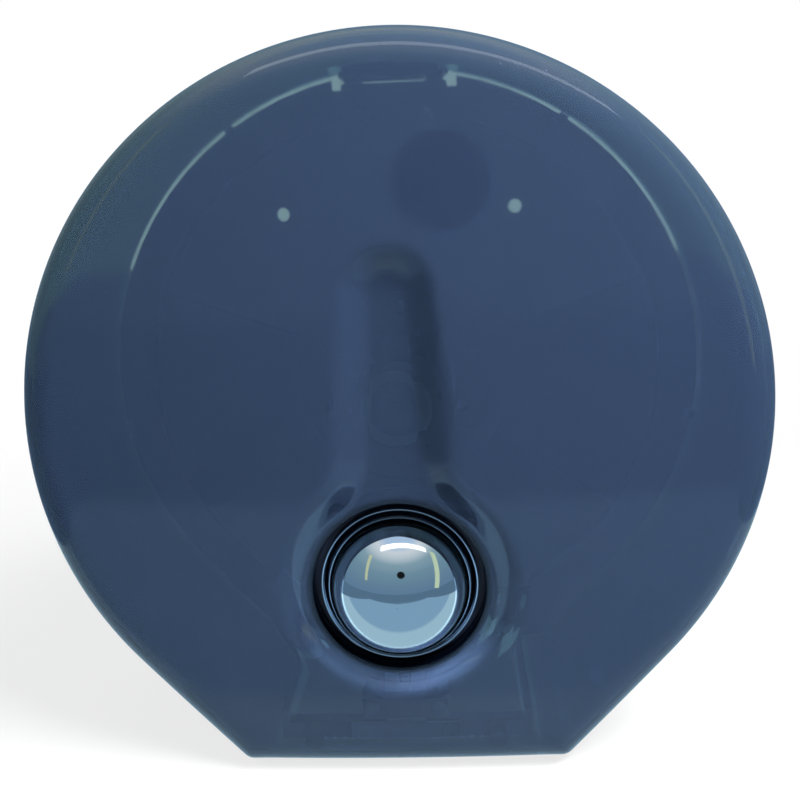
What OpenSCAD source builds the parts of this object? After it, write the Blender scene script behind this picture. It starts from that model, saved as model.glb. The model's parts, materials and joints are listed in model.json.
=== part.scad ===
// Jumbo toilet roll dispenser: a smoked, see-through cover hinged at the top of a dark back plate,
// let go by a chromed dome button low on its face. The wall is the plane Y = 0, the spindle's axis is
// the Y axis and Z is up. Shapes are drawn face on: x to the right, y up, z the distance off the wall.

/* [Cover] */
// Radius of the cover's round outline
cover_r = 140; // [136:0.5:146]
// Depth of the flat bottom inside the circle's lowest point
bottom_cut = 2; // [1:0.5:4]
// Distance of the bottom corners' centres from the middle
corner_x = 61; // [59:0.5:63]
// Radius of the two bottom corners
corner_r = 7; // [6:0.5:9]
// Distance of the front's highest point from the wall
cover_depth = 125; // [124:0.5:130]
// Radius of the front's spherical crown
crown_r = 1300; // [1100:10:1500]
// Radius of the shoulder between the front and the side wall
shoulder_r = 16; // [14:0.5:18]
// Thickness of the cover's wall
cover_wall = 2.8; // [2.4:0.1:3.2]
// Gap between the cover's rim and the wall that the plate hangs on
rim_gap = 3.4; // [3:0.1:4]

/* [Keyhole recess] */
// Depth of the recess's floor below the front's highest point
recess_depth = 8.5; // [7.5:0.1:9]
// How far the recess's side leans outward for each millimetre of depth
recess_lean = 1.25; // [1:0.05:1.4]
// Radius of the floor of the round pad
pad_r = 36; // [35.4:0.1:36.6]
// Distance of the button's centre below the spindle's axis
button_drop = 62.4; // [61:0.2:63]
// Radius of the floor's round top end
channel_r = 6.6; // [5:0.1:8]
// Height of the centre of that round end above the spindle's axis
channel_top = 49; // [40:1:55]
// Angle at which each side of the channel opens downward
channel_flare = 3.6; // [2:0.1:5]
// Radius of the neck between the channel and the pad
neck_r = 30; // [28:1:34]

/* [Dome button] */
// Radius of the chromed dome
dome_r = 28; // [27.6:0.1:28.2]
// Depth of the dome's centre behind the front's highest point
dome_sink = 17; // [16.6:0.1:17.4]
// Travel of the button, and of the latch it lifts
press = 4; // [3.8:0.1:4.2]
// Gap round the dome
dome_gap = 0.7; // [0.5:0.1:0.8]
// Width of the chromed trim ring's face
trim_w = 1.2; // [1:0.1:1.3]
// Depth of the trim ring's face below the recess's floor
trim_sink = 3.2; // [2.8:0.1:3.5]
// Gap between the trim ring and the well it stands in
well_gap = 2.9; // [2.5:0.1:3]

/* [Latch] */
// Width of the latch bar
bar_w = 16; // [14:0.5:18]
// Thickness of the latch bar
bar_t = 2.8; // [2.4:0.1:3]
// Gap between the latch bar and the dome when it is pushed in
bar_gap = 0.6; // [0.4:0.1:0.8]
// How far the latch bar reaches down behind its keeper
bite = 3.5; // [3:0.1:3.6]
// Outer radius of the latch spring
latch_spring_r = 1.65; // [1.4:0.05:1.7]

/* [Back plate] */
// Thickness of the back plate
plate_t = 3; // [2.6:0.1:3.2]
// Gap between the back plate's edge and the cover
plate_gap = 1.2; // [1:0.1:1.6]
// Distance of each wall screw hole from the middle
screw_x = 53; // [48:0.5:58]
// Height of the wall screw holes above the spindle's axis
screw_y = 75; // [65:1:85]
// Radius of the wall screw holes
screw_hole_r = 3.15; // [2.5:0.05:3.5]

/* [Hinge] */
// Depth of the hinge's axis below the top of the cover
hinge_drop = 5; // [4.8:0.1:5.4]
// Distance of the hinge's axis from the wall
hinge_z = 5.5; // [5.4:0.1:5.8]
// Radius of the hinge pin
pin_r = 1.5; // [1.2:0.05:1.8]
// Radius of the hinge's knuckles
knuckle_r = 3.5; // [3.2:0.1:3.6]
// Half the length of the row of knuckles
hinge_x = 22; // [20:0.5:22.5]

/* [Spindle and hub] */
// Radius of the steel axle
axle_r = 6; // [5:0.1:7]
// Outer radius of the hub that carries the roll's core
hub_r = 19; // [18:0.5:21]
// Depth of the hub's front end behind the front's highest point
hub_sink = 39; // [38:0.5:45]
// Radius of the flange that the spindle stands on
base_r = 38; // [36:0.5:42]
// Radius of the disc that keeps the roll off the back plate
hub_disc_r = 52; // [46:1:60]

/* [Paper chute] */
// Half the width of the chute, outside its arms
chute_x = 50; // [46:0.5:51]
// Height of the chute's lower edge above the cover's flat bottom
chute_lift = 7; // [6:0.5:8]
// Height of the chute's flange on the back plate
chute_h = 23; // [20:0.5:26]
// Distance of each rubber buffer from the middle
buffer_x = 36; // [30:0.5:42]
// Radius of the rubber buffers
buffer_r = 3.6; // [3:0.1:4]
// Pitch of the teeth of the tear bars
tooth_pitch = 4; // [3:0.5:6]

/* [Hidden] */
$fn = 96;
fit = 0.3;          // gap where two pieces are seated
running = 0.05;     // radial gap of a shaft in its bore
seat = 0.02;        // gap round a screw, rivet or pressed piece
screw_r = 1.6;      // shank of the small screws
head_r = 3;         // head of the small screws
head_t = 1.8;       // height of those heads

bottom_drop = cover_r - bottom_cut;
recess_z = cover_depth - recess_depth;
dome_z = cover_depth - dome_sink;
trim_z = recess_z - trim_sink;
bar_z = dome_z - 1 - press - bar_gap - bar_t;
hub_front = cover_depth - hub_sink;

smoke = [0.13, 0.2, 0.32, 0.8];
dark = [0.07, 0.08, 0.11];
steel = [0.72, 0.73, 0.75];
chrome = [0.85, 0.87, 0.9];
rubber = [0.05, 0.05, 0.05];
nylon = [0.86, 0.85, 0.8];

// Turns a shape drawn face on so that it hangs on the wall
module upright() { rotate([90, 0, 0]) children(); }

module block(low, high) { translate(low) cube(high - low); }

module disc(r, z0, z1) { translate([0, 0, z0]) cylinder(r = r, h = z1 - z0); }

module tube(r_out, r_in, z0, z1) {
    difference() {
        disc(r_out, z0, z1);
        disc(r_in, z0 - 1, z1 + 1);
    }
}

// Slotted pan-head screw with its head on the plane z = 0 and its shank below
module screw(depth) {
    translate([0, 0, -depth]) cylinder(r = screw_r, h = depth);
    difference() {
        cylinder(r = head_r, h = head_t);
        block([-head_r, -0.4, head_t - 0.8], [head_r, 0.4, head_t + 1]);
    }
}

// Helical spring of round wire along z, with a pitch that leaves its turns apart
module spring(outer_r, wire_r, z0, z1, turns) {
    sides = 6;
    steps = 12 * turns;
    mean_r = outer_r - wire_r;
    low = z0 + wire_r * 1.1;
    high = z1 - wire_r * 1.1;
    function ring(i) = let (a = 30 * i, z = low + (high - low) * i / steps)
        [for (k = [0:sides - 1]) let (r = mean_r + wire_r * cos(360 * k / sides))
            [r * cos(a), r * sin(a), z + wire_r * sin(360 * k / sides)]];
    polyhedron(
        points = [for (i = [0:steps]) each ring(i)],
        faces = concat(
            [[for (k = [sides - 1:-1:0]) k]],
            [for (i = [0:steps - 1], k = [0:sides - 1])
                let (a = i * sides + k, b = i * sides + (k + 1) % sides) each [[a, b, a + sides], [b, b + sides, a + sides]]],
            [[for (k = [0:sides - 1]) steps * sides + k]]));
}

// The outline: a circle whose straight tangents run to two small corner circles at the flat bottom.
// Its points run from the bottom's middle up the right side, with one pair at each end of the outlet
// and one at each end of the hinge, where the rim steps.
outlet_x = chute_x + 4;
notch_x = hinge_x + 3.2;
step = 0.4;
corner = [corner_x, corner_r - bottom_drop];
side_a = atan2(corner[1], corner[0]) + acos((cover_r - corner_r) / norm(corner));
notch_a = acos(notch_x / cover_r);
function unit(a) = [cos(a), sin(a)];
function arc(c, r, a0, a1, n) = [for (i = [0:n]) c + r * unit(a0 + (a1 - a0) * i / n)];
function half_outline(inset) = let (
    side = corner + (corner_r - inset) * unit(side_a),
    touch = (cover_r - inset) * unit(side_a)
) concat(
    [for (x = [0, 0.55 * outlet_x, outlet_x - step, outlet_x]) [x, inset - bottom_drop]],
    arc(corner, corner_r - inset, -90, side_a, 4),
    [for (k = [1, 2]) side + (touch - side) * k / 3],
    arc([0, 0], cover_r - inset, side_a, notch_a, 21),
    arc([0, 0], cover_r - inset, notch_a + step / 2, 90, 3));
function both_sides(half) = let (n = len(half)) concat(
    half, [for (i = [n - 2:-1:1]) concat([-half[i][0]], [for (k = [1:len(half[i]) - 1]) (k == 2 ? -1 : 1) * half[i][k]])]);
function outline(inset) = both_sides(half_outline(inset));

// The keyhole's floor outline as [x, y, normal x, normal y]: pad, neck with its straight side, top end
neck_span = channel_top + button_drop;
neck_reach = neck_span * cos(channel_flare);
neck_c2 = pow(channel_r + neck_r, 2) + neck_span * neck_span
    + 2 * neck_span * (channel_r + neck_r) * sin(channel_flare) - pow(pad_r + neck_r, 2);
neck_t = neck_reach - sqrt(neck_reach * neck_reach - neck_c2);
neck_c = [0, channel_top] + (channel_r + neck_r) * unit(channel_flare)
    + neck_t * [sin(channel_flare), -cos(channel_flare)];
neck_a = atan2(neck_c[1] + button_drop, neck_c[0]);
function turned(c, r, a0, a1, n, s) = [for (i = [0:n]) let (u = unit(a0 + (a1 - a0) * i / n))
    concat(c + s * r * u, u)];
keyhole = both_sides(concat(
    turned([0, -button_drop], pad_r, -90, neck_a, 17, 1),
    turned(neck_c, neck_r, neck_a, channel_flare, 9, -1),
    turned([0, channel_top], channel_r, channel_flare, 90, 8, 1)));
function round_hole(r) = both_sides(concat(
    [for (i = [0:17]) [0, -button_drop] + r * unit(-90 + (neck_a + 90) * i / 17)],
    [for (i = [0:18]) [0, -button_drop] + r * unit(neck_a + (90 - neck_a) * (i + 0.5) / 18.5)]));

// Height of the crown over a point of the face, and of the recess's floor
crown_z = cover_depth - crown_r;
function crown(p) = crown_z + sqrt(crown_r * crown_r - p[0] * p[0] - p[1] * p[1]);
trim_r = dome_r + dome_gap + trim_w;
well_r = trim_r + well_gap;
collar_r = well_r + cover_wall;
collar_z = dome_z - 1;

// Rings of the cover's skin, each a list of as many points, moved in by inset from the outside
function lift(ring, z) = [for (p = ring) [p[0], p[1], z]];
function on_crown(ring, inset) = [for (p = ring) [p[0], p[1], crown(p) - inset]];
function rim(inset) = [for (p = outline(inset)) [p[0], p[1],
    p[1] < 0 && abs(p[0]) < outlet_x - step / 2 ? dome_z - 4
        : p[1] > 0 && abs(p[0]) < notch_x - step / 2 ? hinge_z + 4 : rim_gap]];
function shoulder(inset, turn) = let (
    foot = outline(shoulder_r),
    bend = shoulder_r - inset,
    ring = outline(inset + bend * (1 - cos(turn)))
) [for (i = [0:len(ring) - 1]) [ring[i][0], ring[i][1], crown(foot[i]) - inset - bend * (1 - sin(turn))]];
function spread(d) = [for (p = keyhole) [p[0] + d * p[2], p[1] + d * p[3]]];
function recess_edge(skin) = let (lean = sqrt(1 + recess_lean * recess_lean)) [for (p = keyhole) let (
    guess = [p[0] + recess_lean * recess_depth * p[2], p[1] + recess_lean * recess_depth * p[3]],
    d = recess_lean * (crown(guess) - skin - recess_z) + skin * lean
) [p[0] + d * p[2], p[1] + d * p[3]]];
function face(inset, share) = let (a = outline(shoulder_r), b = recess_edge(inset))
    on_crown([for (i = [0:len(a) - 1]) a[i] * (1 - share) + b[i] * share], inset);

module skin(rings) {
    n = len(rings[0]);
    m = len(rings);
    polyhedron(
        points = [for (r = rings) each r],
        faces = [for (j = [0:m - 1], i = [0:n - 1]) let (
            a = j * n + i, b = j * n + (i + 1) % n, c = (j + 1) % m * n + i, d = (j + 1) % m * n + (i + 1) % n)
            each [[a, c, b], [b, c, d]]]);
}

module cover_shell() {
    turns = [0, 15, 30, 45, 60, 75];
    shares = [0, 0.35, 0.7, 1];
    swell = cover_wall * (sqrt(1 + recess_lean * recess_lean) - recess_lean);
    color(smoke) upright() skin(concat(
        [rim(0)],
        [for (a = turns) shoulder(0, a)],
        [for (s = shares) face(0, s)],
        [lift(keyhole, recess_z)],
        [for (z = [recess_z, collar_z]) lift(round_hole(well_r), z)],
        [for (z = [collar_z, recess_z - cover_wall]) lift(round_hole(collar_r), z)],
        [lift(spread(swell), recess_z - cover_wall)],
        [for (i = [3:-1:0]) face(cover_wall, shares[i])],
        [for (i = [5:-1:0]) shoulder(cover_wall, turns[i])],
        [rim(cover_wall)]));
}

// The hinge: the leaf's knuckle turns on the pin between the bracket's two
hinge_y = cover_r - hinge_drop;
leaf_x = hinge_x * 0.62;
module along_x(r, x0, x1) {
    translate([x0, hinge_y, hinge_z]) rotate([0, 90, 0]) cylinder(r = r, h = x1 - x0);
}

module leaf_bar(half, drop, z0, z1) {
    under = cover_r - cover_wall - fit;
    translate([0, 0, z0]) linear_extrude(z1 - z0) polygon(concat(
        [[half, hinge_y - drop], [-half, hinge_y - drop]],
        [for (k = [-5:5]) let (x = half * k / 5) [x, sqrt(under * under - x * x)]]));
}

module hinge_leaf() {
    color(dark) upright() difference() {
        union() {
            along_x(knuckle_r, -leaf_x, leaf_x);
            leaf_bar(leaf_x, 2.2, hinge_z + 0.5, hinge_z + 10);
            leaf_bar(hinge_x - 2, 1.8, hinge_z + 6.5, hinge_z + 30);
        }
        along_x(pin_r + running, -leaf_x - 1, leaf_x + 1);
    }
}

bracket_z = plate_t + 2.2;
bracket_low = hinge_y - 25;
bracket_screws_at = [for (s = [-1, 1]) [s * 14, hinge_y - 19]];
module hinge_bracket() {
    color(dark) upright() difference() {
        union() {
            block([-hinge_x - 1.5, bracket_low, plate_t], [hinge_x + 1.5, hinge_y - 4, bracket_z]);
            block([-hinge_x - 1.5, hinge_y - 6.2, 0.5], [hinge_x + 1.5, hinge_y - 4, bracket_z]);
            for (s = [0, 1]) mirror([s, 0, 0]) {
                along_x(knuckle_r, leaf_x + fit, hinge_x);
                block([leaf_x + fit, hinge_y - 4.5, hinge_z - knuckle_r + 0.4], [hinge_x, hinge_y, bracket_z]);
            }
        }
        along_x(pin_r + seat, -hinge_x - 2, hinge_x + 2);
        for (p = bracket_screws_at) translate(p) disc(screw_r + seat, 0, 9);
    }
}

module bracket_screws() {
    color(steel) upright() for (p = bracket_screws_at) translate([p[0], p[1], bracket_z]) screw(4.4);
}

module hinge_pin() { color(steel) upright() along_x(pin_r, -hinge_x - 2.4, hinge_x + 2.4); }

module pin_clips() {
    color(steel) upright() for (s = [0, 1]) mirror([s, 0, 0]) difference() {
        along_x(pin_r + 1.2, hinge_x + 0.2, hinge_x + 1.2);
        along_x(pin_r + seat, hinge_x, hinge_x + 2);
    }
}

// The back plate, with ribs, pads for the spindle and the wall screws, and tabs that centre the cover
plate_inset = cover_wall + plate_gap;
pad_z = plate_t + 1.5;
hub_pad_r = 44;
ring_rib_r = 118;
tab_angles = [-10, 56.5, 123.5, 190];
tab_gap = 0.45;
spindle_screws_at = [for (a = [90, 210, 330]) 31 * unit(a)];
chute_low = chute_lift - bottom_drop;
chute_top = chute_low + chute_h;
chute_screws_at = [for (x = [-0.84, -0.3, 0.3, 0.84]) [x * chute_x, chute_low + 19]];
module back_plate() {
    color(dark) upright() difference() {
        union() {
            linear_extrude(plate_t) polygon([for (p = outline(plate_inset)) p]);
            disc(hub_pad_r, 0, pad_z);
            for (s = [-1, 1]) translate([s * screw_x, screw_y]) disc(screw_hole_r + 6, 0, plate_t + 2);
            for (a = tab_angles) rotate([0, 0, a])
                block([cover_r - plate_inset - 3, -2, 0], [cover_r - cover_wall - tab_gap, 2, rim_gap + 2.6]);
            difference() {
                union() {
                    tube(ring_rib_r + 2.5, ring_rib_r, 0, plate_t + 4);
                    for (a = [20, 90, 160, 215, 325]) rotate([0, 0, a])
                        block([hub_pad_r - 1, -1.25, 0], [ring_rib_r + 1, 1.25, plate_t + 3]);
                }
                block([-hinge_x - 3, bracket_low - 2, plate_t], [hinge_x + 3, cover_r, 20]);
                block([-chute_x - 8, -cover_r, plate_t], [chute_x + 8, chute_top + 2, 20]);
            }
        }
        block([-hinge_x - 6, hinge_y - 6.5, -1], [hinge_x + 6, cover_r, 20]);
        for (s = [-1, 1]) translate([s * screw_x, screw_y]) disc(screw_hole_r, -1, 20);
        for (p = concat(bracket_screws_at, spindle_screws_at, chute_screws_at))
            translate(p) disc(screw_r + seat, 0.6, 20);
    }
}

// The spindle: a flanged socket screwed to the plate, a steel axle in it, and the hub that turns on it
base_z = pad_z + 3;
boss_z = base_z + 16;
thread_r = axle_r - 2;
shoulder_at = hub_front + fit;
washer_z = shoulder_at + 1.2;
module spindle_base() {
    color(dark) upright() difference() {
        union() {
            disc(base_r, pad_z, base_z);
            disc(hub_r - 6, pad_z, boss_z);
        }
        disc(axle_r + seat, pad_z + 1, boss_z + 1);
        for (p = spindle_screws_at) translate(p) {
            disc(screw_r + seat, 0, base_z);
            disc(head_r + fit, base_z - head_t - 0.1, base_z + 1);
        }
    }
}

module spindle_screws() {
    color(steel) upright() for (p = spindle_screws_at) translate([p[0], p[1], base_z - head_t - 0.1]) screw(4.6);
}

module spindle_axle() {
    color(steel) upright() {
        disc(axle_r, pad_z + 1, shoulder_at);
        disc(thread_r, shoulder_at, washer_z + 6);
    }
}

module axle_washer() { color(steel) upright() tube(axle_r + 5, thread_r + 0.2, shoulder_at, washer_z); }

module axle_nut() {
    color(steel) upright() difference() {
        translate([0, 0, washer_z]) cylinder(r = thread_r + 4, h = 5, $fn = 6);
        disc(thread_r + seat, washer_z - 1, washer_z + 9);
    }
}

disc_z = base_z + 0.5;
bush_len = 12;
bush_r = hub_r - 4;
module core_hub() {
    color(dark) upright() difference() {
        union() {
            disc(hub_disc_r, disc_z, disc_z + 2);
            tube(hub_disc_r, hub_disc_r - 2, disc_z, disc_z + 3);
            disc(hub_r, disc_z, hub_front);
            for (a = [0:60:300]) rotate([0, 0, a]) {
                block([hub_r - 1, -1.5, disc_z + 1], [hub_r + 3.5, 1.5, hub_front - 8]);
                block([hub_r - 1, -1, disc_z + 1], [hub_disc_r - 1, 1, disc_z + 3]);
            }
        }
        disc(bush_r + seat, disc_z - 1, hub_front + 1);
        for (a = [30:60:330]) rotate([0, 0, a]) translate([hub_disc_r * 0.69, 0]) disc(8, disc_z - 1, disc_z + 5);
    }
}

module hub_bushes() {
    color(nylon) upright() for (z = [boss_z + fit, hub_front - bush_len])
        tube(bush_r, axle_r + running, z, z + bush_len);
}

// The chute: a frame round the paper's way out, screwed to the plate, that carries the latch's keeper
beam_low = bar_z - 3.5;
beam_high = bar_z + bar_t + 0.5;
flange_z = plate_t + 3;
bar_end = chute_low + 3.5;
keeper_top = bar_end + bite;
keeper_z = beam_high + 1.8;
keeper_screws_at = [for (s = [-1, 1]) [s * (bar_w / 2 + 9), chute_low + 3.8]];
buffer_at = [for (s = [-1, 1]) [s * buffer_x, chute_low + buffer_r + 0.6]];
module paper_chute() {
    slot = bar_w / 2 + 0.6;
    color(dark) upright() difference() {
        union() {
            block([-chute_x - 5, chute_low, plate_t], [chute_x + 5, chute_top, flange_z]);
            for (s = [0, 1]) mirror([s, 0, 0]) {
                block([chute_x - 3, chute_low, plate_t], [chute_x, chute_low + 12, beam_high]);
                translate([chute_x - 3, 0, 0]) rotate([0, 90, 0]) linear_extrude(3) polygon([
                    [-flange_z + 1, chute_low + 11], [-flange_z - 14, chute_low + 11], [-flange_z + 1, chute_top]]);
            }
            block([-chute_x, chute_low, beam_low], [chute_x, chute_low + 7, beam_high]);
        }
        block([-slot, chute_low + 2, bar_z - 0.4], [slot, chute_low + 8, beam_high + 1]);
        for (p = keeper_screws_at) translate(p) disc(screw_r + seat, beam_high - 5, beam_high + 1);
        for (p = chute_screws_at) translate(p) disc(screw_r + seat, 0, flange_z + 1);
        for (x = rivets_x) translate([x, rivet_y]) {
            disc(rivet_r + seat, beam_low - 1, beam_low + 2.5);
            disc(rivet_r + seat, flange_z - 2.5, flange_z + 1);
        }
    }
}

module chute_screws() {
    color(steel) upright() for (p = chute_screws_at) translate([p[0], p[1], flange_z]) screw(flange_z - 0.9);
}

module keeper_plate() {
    color(steel) upright() difference() {
        block([-bar_w / 2 - 14, chute_low + 0.5, beam_high], [bar_w / 2 + 14, keeper_top, keeper_z]);
        for (p = keeper_screws_at) translate(p) disc(screw_r + seat, 0, cover_depth);
    }
}

module keeper_screws() {
    color(steel) upright() for (p = keeper_screws_at) translate([p[0], p[1], keeper_z]) screw(6.5);
}

// Height of the inner skin of the shoulder above a point over the flat bottom's edge
function shoulder_skin(p, inset) = let (
    bend = shoulder_r - inset,
    out = -p[1] - bottom_drop + shoulder_r
) crown([p[0], shoulder_r - bottom_drop]) - shoulder_r + sqrt(bend * bend - out * out);

module rubber_buffers() {
    color(rubber) upright() for (p = buffer_at)
        translate(p) disc(buffer_r, beam_high, shoulder_skin([p[0], p[1] - buffer_r], cover_wall) - 0.5);
}

// The two serrated tear bars, at the back of the beam and on the flange, with their rivets
rivet_r = 1.2;
rivet_y = chute_low + 4;
rivets_x = [-36, 0, 36];
tooth_depth = 2;
module tear_bar() {
    half = chute_x - 5;
    count = floor(2 * half / tooth_pitch);
    low = chute_low - 5;
    linear_extrude(1) difference() {
        polygon(concat(
            [[half, low + tooth_depth], [half, chute_low + 6.5], [-half, chute_low + 6.5], [-half, low + tooth_depth]],
            [for (i = [0:count - 1]) each [
                [(i + 0.5 - count / 2) * tooth_pitch, low],
                [(i + 0.98 - count / 2) * tooth_pitch, low + tooth_depth]]]));
        for (x = rivets_x) translate([x, rivet_y]) circle(r = rivet_r + seat);
    }
}

module tear_bars() {
    color(steel) upright() {
        translate([0, 0, beam_low - 1]) tear_bar();
        translate([0, 0, flange_z]) tear_bar();
    }
}

module rivet() {
    translate([0, 0, -3.2]) cylinder(r = rivet_r, h = 3.2);
    cylinder(r1 = rivet_r + 1, r2 = rivet_r + 0.4, h = 0.8);
}

module tear_bar_rivets() {
    color(steel) upright() for (x = rivets_x) {
        translate([x, rivet_y, beam_low - 1]) mirror([0, 0, 1]) rivet();
        translate([x, rivet_y, flange_z + 1]) rivet();
    }
}

// The lock: a housing welded to the well's collar, closed at the back by a plate with a tail. A ramp
// on the button's plunger lifts the latch bar by as much as the button goes in.
button = [0, -button_drop];
bore_r = dome_r + dome_gap;
back_z = bar_z - 0.4;
back_low = back_z - 2;
lug_r = 3.6;
lugs_at = [for (a = [45:90:315]) button + (bore_r + 6.4) * unit(a)];
slot_x = bar_w / 2 + 0.5;
module lock_housing() {
    color(dark) upright() difference() {
        union() {
            translate(button) {
                disc(bore_r + 3.4, back_z, collar_z + 0.8);
                disc(collar_r + 1, collar_z - fit - 1.8, collar_z - fit);
                disc(trim_r, back_z, trim_z - 1);
            }
            for (p = lugs_at) translate(p) disc(lug_r, back_z, collar_z - fit);
        }
        translate(button) disc(bore_r, 0, cover_depth);
        block([-slot_x, button[1] - bore_r - 20, 0], [slot_x, button[1] - stem_r - 7, bar_z + bar_t + 0.4]);
        for (p = lugs_at) translate(p) disc(screw_r + seat, 0, back_z + 5);
    }
}

module trim_ring() {
    color(chrome) upright() translate(button) difference() {
        rotate_extrude() translate([bore_r, trim_z - 1])
            polygon([[0, 0], [trim_w, 0], [trim_w, 0.7], [trim_w - 0.3, 1], [0.3, 1], [0, 0.7]]);
        for (a = [-52, -128]) rotate([0, 0, a]) block([bore_r - 1, -1.6, trim_z - 0.5], [trim_r + 1, 1.6, trim_z + 2]);
    }
}

stem_r = 8;
stem_low = back_z + press + 0.2;
disc_low = dome_z + 8;
plunger_r = dome_r - 5.4;
post_y = bar_end + 32.5;
tail_low = bar_end + 4.5;
tail_x = bar_w / 2 + 9;
guide_y = [tail_low + 1.5, tail_low + 10.5];
guide_screws_at = [for (s = [-1, 1]) [s * (bar_w / 2 + 5), (guide_y[0] + guide_y[1]) / 2]];
module lock_back() {
    color(dark) upright() difference() {
        union() {
            translate(button) {
                disc(bore_r + 3.4, back_low, back_z);
                tube(stem_r + 1.8, stem_r + running, back_low, disc_low - press - 0.3);
            }
            for (p = lugs_at) translate(p) disc(lug_r, back_low, back_z);
            block([-tail_x + 5, tail_low, back_low], [tail_x - 5, button[1] - bore_r, back_z]);
            block([-tail_x, tail_low, back_low], [tail_x, guide_y[1] + 1, back_z]);
            block([-2, post_y - 2.5, back_low], [2, post_y, bar_z + bar_t - 0.2]);
        }
        for (p = concat(lugs_at, guide_screws_at)) translate(p) disc(screw_r + seat, 0, back_z + 1);
    }
}

module lock_screws() {
    color(steel) upright() for (p = lugs_at) translate([p[0], p[1], back_low]) mirror([0, 0, 1]) screw(7);
}

module latch_guide() {
    top = bar_z + bar_t + 2.4;
    color(dark) upright() difference() {
        block([-tail_x, guide_y[0], back_z], [tail_x, guide_y[1], top]);
        block([-bar_w / 2 - 0.3, guide_y[0] - 1, 0], [bar_w / 2 + 0.3, guide_y[1] + 1, bar_z + bar_t + 0.3]);
        for (p = guide_screws_at) translate(p) disc(screw_r + seat, 0, cover_depth);
    }
}

module guide_screws() {
    color(steel) upright() for (p = guide_screws_at) translate([p[0], p[1], bar_z + bar_t + 2.4]) screw(8.6);
}

module button_dome() {
    color(chrome) upright() translate(button) difference() {
        translate([0, 0, dome_z]) sphere(r = dome_r, $fn = 96);
        disc(dome_r + 1, dome_z - dome_r - 1, dome_z - 1);
        disc(plunger_r + 0.1, dome_z - 2, disc_low + 2.1);
        intersection() {
            translate([0, 0, dome_z]) sphere(r = dome_r - 2.6, $fn = 96);
            disc(dome_r, disc_low + 2, cover_depth + dome_r);
        }
    }
}

// The ramp on the latch bar's head, and the plunger's foot that slides down it at 45 degrees
foot_low = bar_z + bar_t + press + 0.3;
foot_y = [button[1] - plunger_r + 0.8, button[1] - plunger_r + 2.6];
foot_rise = 2.7;
head_top = foot_low + foot_rise;
head_y = foot_y[1] + 0.3 + foot_rise;
module along_foot(points, half) {
    translate([-half, 0, 0]) rotate([0, 90, 0]) linear_extrude(2 * half)
        polygon([for (p = points) [-p[1], p[0]]]);
}

module button_plunger() {
    color(dark) upright() {
        difference() {
            union() {
                translate(button) disc(plunger_r, disc_low, disc_low + 2);
                translate(button) disc(stem_r, stem_low, disc_low + 1);
                along_foot([[foot_y[0], disc_low + 1], [foot_y[0], foot_low], [foot_y[1], foot_low],
                    [foot_y[1] + foot_rise, head_top], [foot_y[1] + foot_rise, disc_low + 1]], 4);
            }
            translate(button) disc(stem_r - 2.4, stem_low - 1, disc_low - 1);
        }
    }
}

module button_spring() {
    color(steel) upright() translate(button) spring(stem_r - 3, 0.45, back_z, disc_low - 1, 7);
}

window_y = [bar_end + 17, post_y + 0.2];
module latch_bar() {
    tip = bar_z + bar_t;
    color(steel) upright() difference() {
        union() {
            linear_extrude_at(bar_z, bar_t) polygon([
                [-bar_w / 2, head_y + 2], [-bar_w / 2, bar_end + 1.5], [1.5 - bar_w / 2, bar_end],
                [bar_w / 2 - 1.5, bar_end], [bar_w / 2, bar_end + 1.5], [bar_w / 2, head_y + 2]]);
            along_foot([[head_y - (head_top - tip), tip], [head_y, head_top], [head_y + 2, head_top],
                [head_y + 2, bar_z + 1], [head_y - (head_top - tip), bar_z + 1]], 4.5);
        }
        block([-latch_spring_r - 0.8, window_y[0], 0], [latch_spring_r + 0.8, window_y[1], cover_depth]);
    }
}
module linear_extrude_at(z, h) { translate([0, 0, z]) linear_extrude(h) children(); }

module latch_spring() {
    color(steel) upright() translate([0, window_y[0], bar_z + bar_t / 2]) rotate([-90, 0, 0])
        spring(latch_spring_r, 0.25, 0, post_y - 2.5 - window_y[0], 7);
}

cover_shell();
hinge_leaf();
lock_housing();
trim_ring();
lock_back();
lock_screws();
latch_guide();
guide_screws();
button_dome();
button_plunger();
button_spring();
latch_bar();
latch_spring();
back_plate();
hinge_bracket();
bracket_screws();
hinge_pin();
pin_clips();
spindle_base();
spindle_screws();
spindle_axle();
axle_washer();
axle_nut();
core_hub();
hub_bushes();
paper_chute();
chute_screws();
keeper_plate();
keeper_screws();
tear_bars();
tear_bar_rivets();
rubber_buffers();
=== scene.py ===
# Jumbo toilet roll dispenser: its looks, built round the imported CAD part.
# Row frame in metres: x to the right, y into the wall, z up; the spindle's axis is the y axis.
import json
from math import acos, atan2, cos, degrees, hypot, pi, radians, sin, sqrt
import bmesh
import bpy
from mathutils import Matrix, Vector


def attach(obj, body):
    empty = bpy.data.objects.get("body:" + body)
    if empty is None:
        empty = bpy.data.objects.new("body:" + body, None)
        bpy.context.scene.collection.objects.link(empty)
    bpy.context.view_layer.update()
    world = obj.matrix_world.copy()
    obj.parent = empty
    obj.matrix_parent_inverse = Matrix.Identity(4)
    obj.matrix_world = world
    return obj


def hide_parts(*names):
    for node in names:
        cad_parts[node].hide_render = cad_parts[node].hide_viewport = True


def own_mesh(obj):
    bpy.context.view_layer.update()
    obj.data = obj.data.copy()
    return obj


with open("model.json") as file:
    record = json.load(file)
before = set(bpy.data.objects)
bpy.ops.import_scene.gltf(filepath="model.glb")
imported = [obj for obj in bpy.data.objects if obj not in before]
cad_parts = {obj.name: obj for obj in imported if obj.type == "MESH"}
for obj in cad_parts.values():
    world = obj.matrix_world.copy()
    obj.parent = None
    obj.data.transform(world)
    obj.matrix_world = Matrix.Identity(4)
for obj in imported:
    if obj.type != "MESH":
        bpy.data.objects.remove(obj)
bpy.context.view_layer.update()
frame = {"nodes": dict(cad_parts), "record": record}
nodes = frame["nodes"]
scene = bpy.context.scene
scene.view_settings.view_transform = "Standard"

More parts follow.
